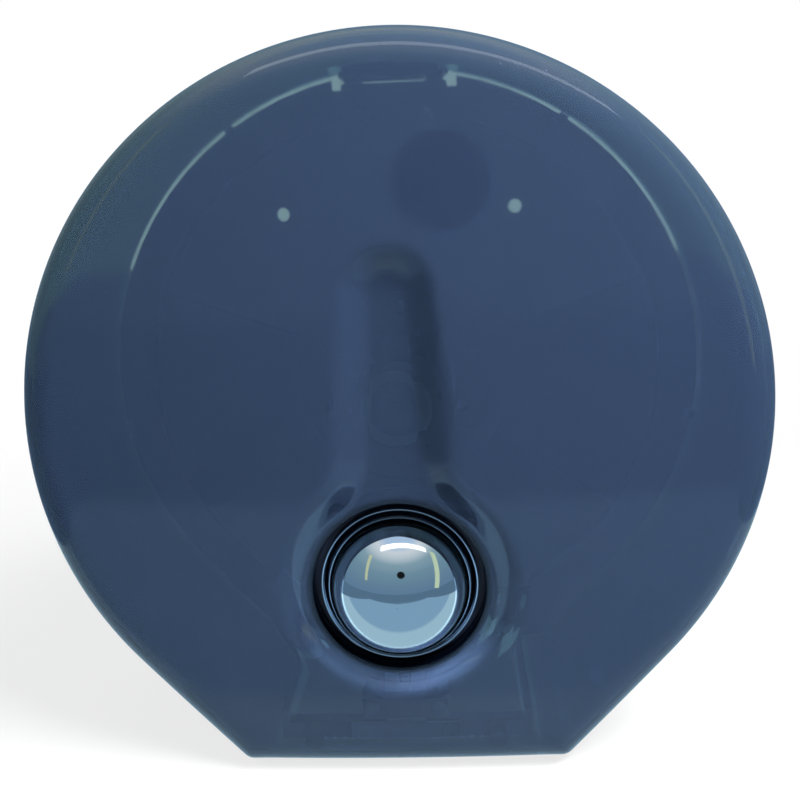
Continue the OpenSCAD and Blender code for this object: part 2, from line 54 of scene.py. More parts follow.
# The camera: a 45 mm lens about 35 cm in front of the cover, a little above the spindle and tilted
# down by 12 degrees, so the cover's depth leans upward in the picture.
LENS, SENSOR = 45.3, 36
EYE = (0.021, -0.472, 0.0825)
PAN, TILT, ROLL = radians(-2.24), radians(11.58), radians(2.9)
turn = (Matrix.Rotation(PAN, 3, "Z") @ Matrix.Rotation(TILT, 3, "X")
        @ Matrix.Rotation(ROLL, 3, "Y") @ Matrix(((1, 0, 0), (0, 0, -1), (0, 1, 0))))
right, down, ahead = turn[0], turn[1], turn[2]
lens = bpy.data.cameras.new("camera")
lens.lens, lens.sensor_width, lens.clip_start = LENS, SENSOR, 0.01
camera = bpy.data.objects.new("camera", lens)
pose = Matrix((right, -down, -ahead)).transposed().to_4x4()
camera.matrix_world = Matrix.Translation(EYE) @ pose
scene.collection.objects.link(camera)
scene.camera = camera


def linear(code):
    """An sRGB hex colour as the linear RGBA that Blender's sockets take."""
    parts = [int(code[i:i + 2], 16) / 255 for i in (1, 3, 5)]
    return [c / 12.92 if c <= 0.04045 else ((c + 0.055) / 1.055) ** 2.4 for c in parts] + [1]


def add(tree, kind, settings=None, **links):
    """Adds a node. A link's name is its socket's, with _ for a space, or _ and the socket's number."""
    made = tree.nodes.new(kind)
    for key, value in (settings or {}).items():
        setattr(made, key, value)
    for key, value in links.items():
        socket = made.inputs[int(key[1:])] if key[0] == "_" else made.inputs[key.replace("_", " ")]
        if isinstance(value, bpy.types.NodeSocket):
            tree.links.new(value, socket)
        else:
            socket.default_value = value
    return made


def maths(tree, operation, a, b):
    """The result of a Math node on two numbers or sockets."""
    return add(tree, "ShaderNodeMath", {"operation": operation}, _0=a, _1=b).outputs[0]


def remap(tree, value, start, end, low=0.0, high=1.0, kind="LINEAR"):
    """Value taken from the range start to end into the range low to high, and held there."""
    return add(tree, "ShaderNodeMapRange", {"interpolation_type": kind}, Value=value,
               _1=start, _2=end, _3=low, _4=high).outputs[0]


def two_tone(tree, share, first, second):
    """A colour between two colours or sockets."""
    return add(tree, "ShaderNodeMix", {"data_type": "RGBA"}, Factor=share, _6=first, _7=second).outputs[2]


def either(tree, share, first, second):
    """A shader between two shaders."""
    return add(tree, "ShaderNodeMixShader", _0=share, _1=first, _2=second).outputs[0]


def place_on_object(tree):
    return add(tree, "ShaderNodeTexCoord").outputs["Object"]


def noise(tree, where, scale, detail=2.0):
    return add(tree, "ShaderNodeTexNoise", Vector=where, Scale=scale, Detail=detail).outputs[0]


def material(name):
    """A new material with an empty node tree and its output, ready for a shader."""
    made = bpy.data.materials.new(name)
    made.use_nodes = True
    made.node_tree.nodes.clear()
    return made, made.node_tree, made.node_tree.nodes.new("ShaderNodeOutputMaterial")


# The studio: a pale floor under the dispenser, white all round to the camera and through clear walls,
# a calmer room in the reflections, and soft lamps. None of it belongs to the object.
FIRST_BOUNCE = 1.5
world = bpy.data.worlds.new("studio")
scene.world = world
world.use_nodes = True
tree = world.node_tree
tree.nodes.clear()
path = add(tree, "ShaderNodeLightPath")
way = add(tree, "ShaderNodeSeparateXYZ", Vector=add(tree, "ShaderNodeTexCoord").outputs["Generated"])
behind = maths(tree, "GREATER_THAN", way.outputs[1], 0.75)
through = maths(tree, "MULTIPLY", path.outputs["Is Transmission Ray"], behind)
seen = maths(tree, "MAXIMUM", path.outputs["Is Camera Ray"], through)
once = maths(tree, "LESS_THAN", path.outputs["Glossy Depth"], FIRST_BOUNCE)
level_of_room = remap(tree, once, 0, 1, 0.1, 1.0)
room = add(tree, "ShaderNodeValToRGB", Fac=way.outputs[2])
ramp = room.color_ramp.elements
ramp[0].position, ramp[1].position = 0.05, 0.96
ramp[0].color, ramp[1].color = linear("#6a8aa6"), linear("#b9d3f0")
for height, tint in ((0.45, "#789aac"), (0.68, "#8fadbb"), (0.80, "#c8d6de"), (0.88, "#dfe6ec")):
    ramp.new(height).color = linear(tint)
soft = add(tree, "ShaderNodeBackground", Color=linear("#e8eef5"), Strength=0.27).outputs[0]
mirrored = add(tree, "ShaderNodeBackground", Color=room.outputs[0], Strength=level_of_room).outputs[0]
white = add(tree, "ShaderNodeBackground", Color=(1, 1, 1, 1), Strength=1.0).outputs[0]
shiny = either(tree, path.outputs["Is Glossy Ray"], soft, mirrored)
add(tree, "ShaderNodeOutputWorld", Surface=either(tree, seen, shiny, white))


def stage_plane(name, corners, paint):
    """A flat sheet of the studio with its own material."""
    mesh = bpy.data.meshes.new(name)
    mesh.from_pydata(corners, [], [tuple(range(len(corners)))])
    mesh.materials.append(paint)
    made = bpy.data.objects.new(name, mesh)
    scene.collection.objects.link(made)
    return made


# The floor: to the camera it is white paper with the object's shadow. In the reflections it shows a
# table instead, in a near and a far tone, brighter the second time that it is mirrored.
FLOOR_HEIGHT, FLOOR_REACH = -0.1395, 3
TABLE_HALF, TABLE_EDGE, TABLE_NEAR = 0.3, (-0.44, -0.42), (-0.17, -0.16)
paper, tree, out = material("white_paper_sweep")
path = add(tree, "ShaderNodeLightPath")
where = place_on_object(tree)
place = add(tree, "ShaderNodeSeparateXYZ", Vector=where)
matt = add(tree, "ShaderNodeBsdfDiffuse", Color=linear("#f2f2f2")).outputs[0]
glow = add(tree, "ShaderNodeEmission", Color=(1, 1, 1, 1), Strength=1.0).outputs[0]
side = add(tree, "ShaderNodeMath", {"operation": "ABSOLUTE"}, _0=place.outputs[0]).outputs[0]
narrow = maths(tree, "LESS_THAN", side, TABLE_HALF)
on_table = maths(tree, "MULTIPLY", remap(tree, place.outputs[1], *TABLE_EDGE), narrow)
wood = two_tone(tree, remap(tree, place.outputs[1], *TABLE_NEAR), linear("#87aecb"), linear("#a8cbdd"))
ground = two_tone(tree, on_table, linear("#5d7b95"), wood)
again = maths(tree, "GREATER_THAN", path.outputs["Glossy Depth"], FIRST_BOUNCE)
level_of_table = remap(tree, again, 0, 1, 1.0, 3.0)
table = add(tree, "ShaderNodeEmission", Color=ground, Strength=level_of_table).outputs[0]
far = add(tree, "ShaderNodeVectorMath", {"operation": "LENGTH"}, _0=where)
fade = remap(tree, far.outputs["Value"], 0.25, 0.6, 0.75, 1.0)
shown = maths(tree, "MULTIPLY", path.outputs["Is Camera Ray"], fade)
mirrored = either(tree, path.outputs["Is Glossy Ray"], either(tree, shown, matt, glow), table)
# Seen through the clear cover the floor is a dim blue-grey glow instead, which darkens what shows through
# the cover.
through = add(tree, "ShaderNodeEmission", Color=linear("#8c9bb4"), Strength=0.12).outputs[0]
dimmed = either(tree, path.outputs["Is Transmission Ray"], mirrored, through)
tree.links.new(dimmed, out.inputs[0])
stage_plane("floor", [(x * FLOOR_REACH, y * FLOOR_REACH, FLOOR_HEIGHT)
                      for x, y in ((-1, -1), (1, -1), (1, 1), (-1, 1))], paper)


def lamp(name, place, aim, size, power):
    """A soft box that points at a spot; its own shape stays out of the reflections."""
    data = bpy.data.lights.new(name, "AREA")
    data.shape, data.size, data.size_y, data.energy = "RECTANGLE", size[0], size[1], power
    made = bpy.data.objects.new(name, data)
    made.location = place
    made.rotation_euler = (Vector(aim) - Vector(place)).to_track_quat("-Z", "Y").to_euler()
    made.visible_glossy = made.visible_transmission = False
    scene.collection.objects.link(made)


lamp("soft_box_left", (-0.9, -1.0, 0.9), (0, -0.05, 0), (0.7, 0.7), 6)
lamp("soft_box_right", (1.1, -0.8, 0.5), (0, -0.05, 0), (0.6, 0.9), 4)
lamp("soft_box_top", (0.34, -0.38, 0.54), (0, -0.1, 0), (0.4, 0.3), 13)


def card(name, tint, strength, ways, distance=1.1):
    """A pale card that only the reflections show; its corners are directions from near the button."""
    paint, tree, out = material(name)
    path = add(tree, "ShaderNodeLightPath")
    once = maths(tree, "LESS_THAN", path.outputs["Glossy Depth"], FIRST_BOUNCE)
    power = maths(tree, "MULTIPLY", once, strength)
    glow = add(tree, "ShaderNodeEmission", Color=linear(tint), Strength=power)
    tree.links.new(glow.outputs[0], out.inputs[0])
    made = stage_plane(name, [Vector((0, -0.12, -0.06)) + distance * Vector(way) for way in ways], paint)
    made.visible_camera = made.visible_diffuse = made.visible_shadow = made.visible_transmission = False


card("window_left", "#e6f2c8", 0.75,
     [(-0.66, -0.25, 0.71), (-0.60, -0.32, 0.73), (-0.75, -0.61, 0.24), (-0.79, -0.56, 0.23)])
card("window_right", "#dcf2cf", 0.85,
     [(0.68, -0.14, 0.72), (0.77, -0.09, 0.63), (0.89, -0.46, -0.04), (0.83, -0.57, 0.0)])
card("ceiling_bar", "#f4fbff", 2.5,
     [(-0.40, -0.20, 0.90), (0.60, -0.14, 0.79), (0.64, -0.22, 0.74), (-0.42, -0.33, 0.85)])

# A black disc beside the lens, which the chromed dome mirrors as the small dark spot of the camera.
LENS_MOUTH, MOUTH_R = (0.03, -0.49, 0.14), 0.045
black, tree, out = material("camera_body")
dark = add(tree, "ShaderNodeEmission", Color=(0.01, 0.01, 0.012, 1), Strength=1.0)
tree.links.new(dark.outputs[0], out.inputs[0])
mouth = [Vector((LENS_MOUTH[0] + MOUTH_R * cos(pi * i / 12), LENS_MOUTH[1],
                 LENS_MOUTH[2] + MOUTH_R * sin(pi * i / 12))) for i in range(24)]
stage_plane("camera_body", mouth, black).visible_camera = False

# The cover: one injection moulding in smoke-tinted polycarbonate, 2.8 mm thick, with a crowned front,
# a rolled shoulder and a keyhole-shaped recess that ends in the button's well. It is polished like
# glass, and its dark tint still lets the wall show where nothing lies behind it. Sizes are in mm.
MM = 1000
COVER_R, DROP, CORNER_X, CORNER_R = 140.0, 138.0, 61.0, 7.0
DEPTH, CROWN_R, SHOULDER_R, WALL = 125.0, 1300.0, 16.0, 2.8
BUTTON = (0.0, -62.4)
PAD_R, TIP_R, TIP_Y, FLARE, NECK_R = 36.0, 6.6, 49.0, 3.6, 30.0
FLOOR_Z, LEAN, LEAN_LOSS = 116.5, 1.25, 0.27
FLOOR_ROUND, CROWN_ROUND = 1.3, 2.2
WELL_R, COLLAR_Z = 32.8, 107.0
RIM_GAP = 3.4
OUTLET_HALF, OUTLET_Z = 53.8, 104.0
NOTCH_HALF, NOTCH_Z = 24.2, 9.5


def cosd(a):
    return cos(radians(a))


def sind(a):
    return sin(radians(a))


def arc(cx, cy, r, a0, a1, n, side=1):
    """Points of an arc as (x, y, outward x, outward y); side -1 for an arc that bends the other way."""
    turns = [a0 + (a1 - a0) * i / n for i in range(n + 1)]
    return [(cx + side * r * cosd(a), cy + side * r * sind(a), cosd(a), sind(a)) for a in turns]


def whole(half):
    """Both halves of a closed line, from the bottom's middle up the right side and down the left."""
    return half + [(-p[0], p[1]) + ((-p[2], p[3]) if len(p) > 2 else ()) for p in half[-2:0:-1]]


def between(a, b, share):
    """The point that lies a share of the way from a to b."""
    return tuple(a[k] + (b[k] - a[k]) * share for k in range(len(a)))


corner_y = CORNER_R - DROP
side_angle = degrees(atan2(corner_y, CORNER_X) + acos((COVER_R - CORNER_R) / hypot(CORNER_X, corner_y)))
notch_angle = degrees(acos((NOTCH_HALF + 0.2) / COVER_R))


def outline(inset):
    """The cover's outline, moved in; every such line has the same number of points."""
    flat_end, step = OUTLET_HALF + 0.2, 0.3
    flat = [flat_end * i / 14 for i in range(14)] + [flat_end - 0.4, flat_end]
    half = [(x, inset - DROP) for x in flat]
    bend = CORNER_R - inset
    if bend > 0:
        half += [p[:2] for p in arc(CORNER_X, corner_y, bend, -90, side_angle, 12)]
    else:
        away, middle = bend / cosd((side_angle + 90) / 2), (side_angle - 90) / 2
        x, y = CORNER_X + away * cosd(middle), corner_y + away * sind(middle)
        half += [(x - step * i, y) for i in range(6, 0, -1)]
        half += [(x - step * i * sind(side_angle), y + step * i * cosd(side_angle)) for i in range(7)]
    touch = ((COVER_R - inset) * cosd(side_angle), (COVER_R - inset) * sind(side_angle))
    foot = half[-1]
    half += [between(foot, touch, i / 9) for i in range(1, 9)]
    half += [p[:2] for p in arc(0, 0, COVER_R - inset, side_angle, notch_angle, 90)]
    half += [p[:2] for p in arc(0, 0, COVER_R - inset, notch_angle + 0.2, 90, 10)]
    return whole(half)


# The keyhole: a round pad under the button and a tapering channel with a round end, joined by two
# arcs of the neck's radius that touch both.
tip_and_neck, pad_and_neck = TIP_R + NECK_R, PAD_R + NECK_R
span = TIP_Y - BUTTON[1]
reach = span * cosd(FLARE)
square = tip_and_neck ** 2 + span ** 2 + 2 * span * tip_and_neck * sind(FLARE) - pad_and_neck ** 2
slide = reach - sqrt(reach ** 2 - square)
neck = (tip_and_neck * cosd(FLARE) + slide * sind(FLARE),
        TIP_Y + tip_and_neck * sind(FLARE) - slide * cosd(FLARE))
neck_angle = degrees(atan2(neck[1] - BUTTON[1], neck[0]))
half_count = len(outline(0)) // 2
n_pad, n_neck, n_tip = 62, 14, 26
n_side = half_count - n_pad - n_neck - n_tip - 1
pad_line = arc(0, BUTTON[1], PAD_R, -90, neck_angle, n_pad)
neck_line = arc(neck[0], neck[1], NECK_R, neck_angle, FLARE, n_neck, -1)
tip_line = arc(0, TIP_Y, TIP_R, FLARE, 90, n_tip)
side_line = [between(neck_line[-1], tip_line[0], i / n_side) for i in range(1, n_side)]
keyhole = whole(pad_line + neck_line + side_line + tip_line)


def well_circle(r, z):
    """A level circle round the button, with its points in the same directions as the keyhole's."""
    ways = [atan2(p[1] - BUTTON[1], p[0]) for p in keyhole[:half_count + 1]]
    return [(p[0], p[1], z) for p in whole([(r * cos(way), BUTTON[1] + r * sin(way)) for way in ways])]


def crown(x, y):
    """Height of the crowned front, a part of a large sphere."""
    return DEPTH - CROWN_R + sqrt(CROWN_R ** 2 - x * x - y * y)


def relief(x, y, d, skin, lean):
    """Height of the face d millimetres outside the keyhole's floor, with both edges rounded."""
    top, flat = crown(x, y) - skin, FLOOR_Z - skin
    slope = FLOOR_Z + (d - skin * sqrt(1 + lean ** 2)) / lean
    low = max(flat, slope) + max(FLOOR_ROUND - abs(flat - slope), 0) ** 2 / (4 * FLOOR_ROUND)
    return min(top, low) - max(CROWN_ROUND - abs(top - low), 0) ** 2 / (4 * CROWN_ROUND)


def recess_rings(skin):
    """Rings of the recess's side, from the crown down to its floor, closer together at both edges."""
    lean = skin * sqrt(1 + LEAN ** 2) if skin else 0
    edge = LEAN * (DEPTH - FLOOR_Z) + lean
    foot = skin * (sqrt(1 + LEAN ** 2) - LEAN) if skin else 0
    steps = [edge + 3, edge + 2, edge + 1.2, edge + 0.4, edge - 0.4, edge - 1.2, edge - 2, edge - 3]
    gap = edge - 3 - (foot + 1.6)
    steps += [edge - 3 - gap * i / 3 for i in (1, 2)]
    steps += [foot + v for v in (1.6, 1.1, 0.6, 0.1, -0.4, -0.9, -1.5, -1.9)]
    rings = []
    for d in steps:
        ring = []
        for x, y, out_x, out_y in keyhole:
            side_lean = LEAN - LEAN_LOSS * max(0, (BUTTON[1] - y) / PAD_R)
            x, y = x + d * out_x, y + d * out_y
            ring.append((x, y, relief(x, y, d, skin, side_lean)))
        rings.append(ring)
    return rings


def rim(inset):
    """The cover's back edge, cut higher at the paper's way out and at the hinge."""
    rows = []
    for x, y in outline(inset):
        if y < 0 and abs(x) < OUTLET_HALF:
            rows.append((x, y, OUTLET_Z))
        elif y > 0 and abs(x) < NOTCH_HALF:
            rows.append((x, y, NOTCH_Z))
        else:
            rows.append((x, y, RIM_GAP))
    return rows


def shoulder(inset, angle):
    """A ring of the rolled edge between side and front, 0 degrees at the side."""
    foot, bend = outline(SHOULDER_R), SHOULDER_R - inset
    ring = outline(inset + bend * (1 - cosd(angle)))
    return [(p[0], p[1], crown(*f) - inset - bend * (1 - sind(angle))) for p, f in zip(ring, foot)]


def skin_rings(inset):
    """The rings of one side of the wall, from the rim to the edge of the well."""
    low, high = rim(inset), shoulder(inset, 0)
    rings = [[between(a, b, share) for a, b in zip(low, high)] for share in (0, 0.02, 0.33, 0.67, 1)]
    rings += [shoulder(inset, angle) for angle in range(9, 90, 9)]
    deep = recess_rings(inset)
    foot = outline(SHOULDER_R)
    for i in range(12):
        line = [between(f, d[:2], i / 12) for f, d in zip(foot, deep[0])]
        rings.append([(x, y, crown(x, y) - inset) for x, y in line])
    return rings + deep


def ring_mesh(name, rings, sharp=35):
    """A closed skin from rings of equal length, the last joined to the first, from mm to metres."""
    n, m = len(rings[0]), len(rings)
    points = [(x / MM, -z / MM, y / MM) for ring in rings for x, y, z in ring]
    faces = []
    for j in range(m):
        here, there = j * n, (j + 1) % m * n
        faces += [(here + i, here + (i + 1) % n, there + (i + 1) % n, there + i) for i in range(n)]
    mesh = bpy.data.meshes.new(name)
    mesh.from_pydata(points, [], faces)
    mesh.shade_smooth()
    mesh.set_sharp_from_angle(angle=radians(sharp))
    made = bpy.data.objects.new(name, mesh)
    scene.collection.objects.link(made)
    return made


well = [well_circle(WELL_R + 1.1, FLOOR_Z), well_circle(WELL_R + 0.5, FLOOR_Z),
        well_circle(WELL_R + 0.15, FLOOR_Z - 0.15), well_circle(WELL_R, FLOOR_Z - 0.5),
        well_circle(WELL_R, COLLAR_Z + 0.4), well_circle(WELL_R + 0.4, COLLAR_Z),
        well_circle(WELL_R + WALL, COLLAR_Z), well_circle(WELL_R + WALL, FLOOR_Z - WALL)]
cover = ring_mesh("smoked_cover", skin_rings(0) + well + skin_rings(WALL)[::-1])

# The cover's finish: tinted through and polished with faint wear, with painted shade that darkens it within
# the well, and a painted highlight in a band under the button, where it lets less light through.
smoked, tree, out = material("smoked_polycarbonate")
where = place_on_object(tree)
flat = add(tree, "ShaderNodeVectorMath", {"operation": "MULTIPLY"}, Vector=where, _1=(1, 0, 1))
wear = noise(tree, where, 45.0, 3.0)
gloss = remap(tree, wear, 0.35, 0.75, 0.035, 0.085)
button_spot = (0, 0, BUTTON[1] / MM)
from_button = add(tree, "ShaderNodeVectorMath", {"operation": "DISTANCE"}, Vector=flat.outputs[0],
                  _1=button_spot).outputs["Value"]
# Painted shade: inside the well round the button the base colour turns dark, standing in for the shade
# there.
ring = remap(tree, from_button, 0.0325, 0.036, kind="SMOOTHSTEP")
tone = two_tone(tree, ring, linear("#22304f"), linear("#8eb6fc"))
# Painted highlight: in a band under the button the cover lets less light through and shows its pale blue
# base colour, standing in for the lit crescent mirrored there.
band = remap(tree, from_button, 0.043, 0.038, kind="SMOOTHSTEP")
high = add(tree, "ShaderNodeSeparateXYZ", Vector=where)
under = remap(tree, high.outputs[2], -0.074, -0.095, kind="SMOOTHSTEP")
painted_glow_band = maths(tree, "MULTIPLY", band, under)
haze_and_painted_glow = maths(tree, "MULTIPLY", painted_glow_band, ring)
clear = remap(tree, haze_and_painted_glow, 0, 1, 0.945, 0.83)
shader = add(tree, "ShaderNodeBsdfPrincipled", Base_Color=tone, Roughness=gloss, IOR=1.58,
             Transmission_Weight=clear)
smoke = add(tree, "ShaderNodeVolumeAbsorption", Color=linear("#d2c600"), Density=560.0)
tree.links.new(shader.outputs[0], out.inputs[0])
tree.links.new(smoke.outputs[0], out.inputs[1])
cover.data.materials.append(smoked)
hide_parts("cover_shell")
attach(cover, "cover")

# The button: a hollow dome pressed onto the plunger and chromed like a mirror, with a rolled lower
# edge and a bore for the plunger's head.
DOME_R, DOME_Z, DOME_INNER, DOME_BORE = 28.0, 108.0, 25.4, 22.75


def lathe(name, profile, centre, turns, sharp=35):
    """A closed profile of (radius, z) turned about an axis that leaves the wall at centre."""
    rings = []
    for r, z in profile:
        rings.append([(centre[0] + r * cos(2 * pi * i / turns), centre[1] + r * sin(2 * pi * i / turns), z)
                      for i in range(turns)])
    return ring_mesh(name, rings, sharp)


profile = [(DOME_R - 0.3, DOME_Z - 1), (DOME_R, DOME_Z - 0.7)]
profile += [(DOME_R * cosd(a), DOME_Z + DOME_R * sind(a))
            for a in [0, 2, 4] + list(range(8, 88, 4)) + [88, 89.7]]
profile += [(DOME_INNER * cosd(a), DOME_Z + DOME_INNER * sind(a)) for a in (89.7, 80, 68, 56, 44, 32, 24)]
profile += [(DOME_BORE, DOME_Z + 9.9), (DOME_BORE, DOME_Z - 1)]
dome = lathe("chromed_dome", profile, BUTTON, 160)

chrome, tree, out = material("bright_chrome_plate")
haze_and_painted_glow = noise(tree, place_on_object(tree), 160.0)
gloss = remap(tree, haze_and_painted_glow, 0.3, 0.8, 0.03, 0.09)
shader = add(tree, "ShaderNodeBsdfPrincipled", Base_Color=linear("#dfe3e6"), Metallic=1.0, Roughness=gloss)
tree.links.new(shader.outputs[0], out.inputs[0])
dome.data.materials.append(chrome)
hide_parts("button_dome")
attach(dome, "button")

# The ring round the button: a thin turned hoop in satin plating, pressed into the housing, with two
# small lugs low on it.
RING_R, RING_Z, RING_W = DOME_R + 0.7, 113.3, 1.2
LUG_ANGLES, LUG_HALF = (-52, -128), 2.1
BOX_FACES = ((0, 3, 2, 1), (4, 5, 6, 7), (0, 1, 5, 4), (1, 2, 6, 5), (2, 3, 7, 6), (3, 0, 4, 7))
profile = [(0, -1), (RING_W, -1), (RING_W, -0.3), (1.1, -0.1), (0.95, 0), (0.7, 0), (0.5, -0.12),
           (0.4, -0.4), (0, -0.95)]
hoop = lathe("chromed_hoop", [(RING_R + r, RING_Z + z) for r, z in profile], BUTTON, 200)
lug_profile = ((0.1, -0.6), (1.1, -0.6), (1.0, 0.25), (0.3, 0))
lug_points = []
for angle in LUG_ANGLES:
    for across in (-LUG_HALF, LUG_HALF):
        for r, z in lug_profile:
            x = (RING_R + r) * cosd(angle) - across * sind(angle)
            y = BUTTON[1] + (RING_R + r) * sind(angle) + across * cosd(angle)
            lug_points.append((x / MM, -(RING_Z + z) / MM, y / MM))
lug_faces = [tuple(first + i for i in face) for first in (0, 8) for face in BOX_FACES]
lugs = bpy.data.meshes.new("lugs")
lugs.from_pydata(lug_points, [], lug_faces)
joined = bmesh.new()
joined.from_mesh(hoop.data)
joined.from_mesh(lugs)
bmesh.ops.recalc_face_normals(joined, faces=joined.faces)
joined.to_mesh(hoop.data)
joined.free()
satin, tree, out = material("satin_nickel")
gloss = remap(tree, noise(tree, place_on_object(tree), 300.0), 0, 1, 0.12, 0.22)
shader = add(tree, "ShaderNodeBsdfPrincipled", Base_Color=linear("#c4c8d2"), Metallic=1.0, Roughness=gloss)
tree.links.new(shader.outputs[0], out.inputs[0])
hoop.data.materials.append(satin)
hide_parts("trim_ring")
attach(hoop, "cover")

# The dark mouldings: back plate, hinge, spindle, hub, chute and the lock's housing, in dark blue-grey
# ABS with a fine spark-eroded grain.
slot_of = {s["node"]: s["material_slot"] for s in frame["record"]["subparts"]}


def paint_nodes(slot, paint):
    """Gives a material to every CAD node of one slot of the record."""
    for name, node in nodes.items():
        if slot_of[name] == slot:
            node.data.materials.clear()
            node.data.materials.append(paint)


def bumped(tree, height, strength, distance):
    return add(tree, "ShaderNodeBump", Strength=strength, Distance=distance, Height=height).outputs[0]


abs_grey, tree, out = material("grained_abs")
where = place_on_object(tree)
grain = noise(tree, where, 900.0)
tone = two_tone(tree, noise(tree, where, 14.0), linear("#1e2941"), linear("#24304c"))
rough = remap(tree, grain, 0, 1, 0.42, 0.6)
shader = add(tree, "ShaderNodeBsdfPrincipled", Base_Color=tone, Roughness=rough, IOR=1.53,
             Normal=bumped(tree, grain, 0.12, 0.0002))
tree.links.new(shader.outputs[0], out.inputs[0])
paint_nodes("dark_plastic", abs_grey)

# The steel parts: axle, pin, latch bar, tear bars, keeper, springs and screws, zinc-plated or
# stainless, with the fine lines of drawing and rolling along them.
steel, tree, out = material("zinc_plated_steel")
stretch = add(tree, "ShaderNodeMapping", Vector=place_on_object(tree), Scale=(60.0, 900.0, 900.0))
lines = noise(tree, stretch.outputs[0], 1.0, 3.0)
rough = remap(tree, lines, 0, 1, 0.22, 0.42)
shader = add(tree, "ShaderNodeBsdfPrincipled", Base_Color=linear("#c4c7ca"), Metallic=1.0,
             Roughness=rough, Normal=bumped(tree, lines, 0.1, 0.0001))
tree.links.new(shader.outputs[0], out.inputs[0])
paint_nodes("steel", steel)

# The hub's two bushes are turned from nylon, waxy and off-white, and the two buffers are black rubber.
# Both have a fine speckle from the mould.
for slot, name, colour, rough in (("nylon", "nylon", "#e4e0d2", 0.38),
                                  ("rubber", "nitrile_rubber", "#1b1b1c", 0.8)):
    made, tree, out = material(name)
    speck = noise(tree, place_on_object(tree), 700.0)
    shader = add(tree, "ShaderNodeBsdfPrincipled", Base_Color=linear(colour), Roughness=rough,
                 Normal=bumped(tree, speck, 0.15, 0.0002))
    tree.links.new(shader.outputs[0], out.inputs[0])
    paint_nodes(slot, made)

# The screws and rivets: steel pan-head screws with a cross recess and rolled thread, and round-head
# rivets, each set on its places by Geometry Nodes and turned at random.
body_of = {name: body for body, names in frame["record"]["behaviour"]["bodies"].items() for name in names}


def repeat_tree(name, slotted):
    """Sets an item on every point of Places, its head turned to Facing; slotted cuts a cross recess."""
    tree = bpy.data.node_groups.new(name, "GeometryNodeTree")
    for label, kind in (("Places", "Geometry"), ("Item", "Object"), ("Facing", "Vector"), ("Slot", "Vector"),
                        ("Head", "Float"), ("Seed", "Int"), ("Finish", "Material")):
        tree.interface.new_socket(label, in_out="INPUT", socket_type="NodeSocket" + kind)
    tree.interface.new_socket("Geometry", in_out="OUTPUT", socket_type="NodeSocketGeometry")
    given = tree.nodes.new("NodeGroupInput")
    shape = add(tree, "GeometryNodeObjectInfo", Object=given.outputs["Item"]).outputs["Geometry"]
    if slotted:
        cut = add(tree, "GeometryNodeMeshBoolean", {"operation": "DIFFERENCE"}, Mesh_1=shape)
        top = add(tree, "ShaderNodeCombineXYZ", Z=given.outputs["Head"])
        for angle in (0, pi / 2):
            bar = add(tree, "GeometryNodeMeshCube", Size=given.outputs["Slot"])
            laid = add(tree, "GeometryNodeTransform", Geometry=bar.outputs[0],
                       Translation=top.outputs[0], Rotation=(0, 0, angle))
            tree.links.new(laid.outputs[0], cut.inputs["Mesh 2"])
        shape = cut.outputs[0]
    chance = add(tree, "FunctionNodeRandomValue", {"data_type": "FLOAT_VECTOR"}, _0=(0, 0, 0),
                 _1=(0, 0, pi), Seed=given.outputs["Seed"])
    placed = add(tree, "GeometryNodeInstanceOnPoints", Points=given.outputs["Places"], Instance=shape,
                 Rotation=given.outputs["Facing"])
    spun = add(tree, "GeometryNodeRotateInstances", Instances=placed.outputs[0],
               Rotation=chance.outputs[0])
    real = add(tree, "GeometryNodeRealizeInstances", Geometry=spun.outputs[0])
    done = add(tree, "GeometryNodeSetMaterial", Geometry=real.outputs[0],
               Material=given.outputs["Finish"])
    tree.links.new(done.outputs[0], tree.nodes.new("NodeGroupOutput").inputs[0])
    return tree


def repeated(node, tree, profile, places, facing, slot=(0, 0, 0), head=0.0):
    """One plain mesh of turned items in place of a CAD node; profile and places in mm, the rest in m."""
    item = lathe(node + "_item", profile, (0, 0), 28, 40)
    item.data.transform(Matrix.Rotation(-pi / 2, 4, "X"))
    points = bpy.data.meshes.new(node + "_places")
    points.from_pydata([tuple(v / MM for v in place) for place in places], [], [])
    made = bpy.data.objects.new("set_of_" + node, points)
    scene.collection.objects.link(made)
    maker = made.modifiers.new("repeat", "NODES")
    maker.node_group = tree
    given = {"Item": item, "Facing": facing, "Slot": slot, "Head": head, "Seed": 7, "Finish": steel}
    for socket in tree.interface.items_tree:
        if socket.in_out == "INPUT" and socket.name in given:
            maker[socket.identifier] = given[socket.name]
    mesh = bpy.data.meshes.new_from_object(made.evaluated_get(bpy.context.evaluated_depsgraph_get()))
    made.modifiers.clear()
    made.data = mesh
    mesh.set_sharp_from_angle(angle=radians(35))
    bpy.data.objects.remove(item)
    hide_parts(node)
    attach(made, body_of[node])


HEAD_R, HEAD_T, SHANK_R, THREAD_ROOT, PITCH = 3.0, 1.8, 1.6, 1.32, 0.55
RECESS = (0.0034, 0.0006, 0.0022)


def pan_head(length):
    """Half section of a screw from its tip to its domed top, threaded from 0.9 mm below the head."""
    line = [(0.01, HEAD_T), (0.9, 1.76), (1.7, 1.6), (2.4, 1.27), (2.85, 0.8), (HEAD_R, 0.35),
            (HEAD_R, 0.05), (2.95, 0.0), (SHANK_R, 0.0)]
    z = -0.9
    while z > 0.7 - length:
        line += [(THREAD_ROOT, z), (SHANK_R, z - 0.22), (SHANK_R, z - 0.3)]
        z -= PITCH
    line += [(THREAD_ROOT, z), (1.1, 0.15 - length), (0.9, -length), (0.01, -length)]
    return line[::-1]


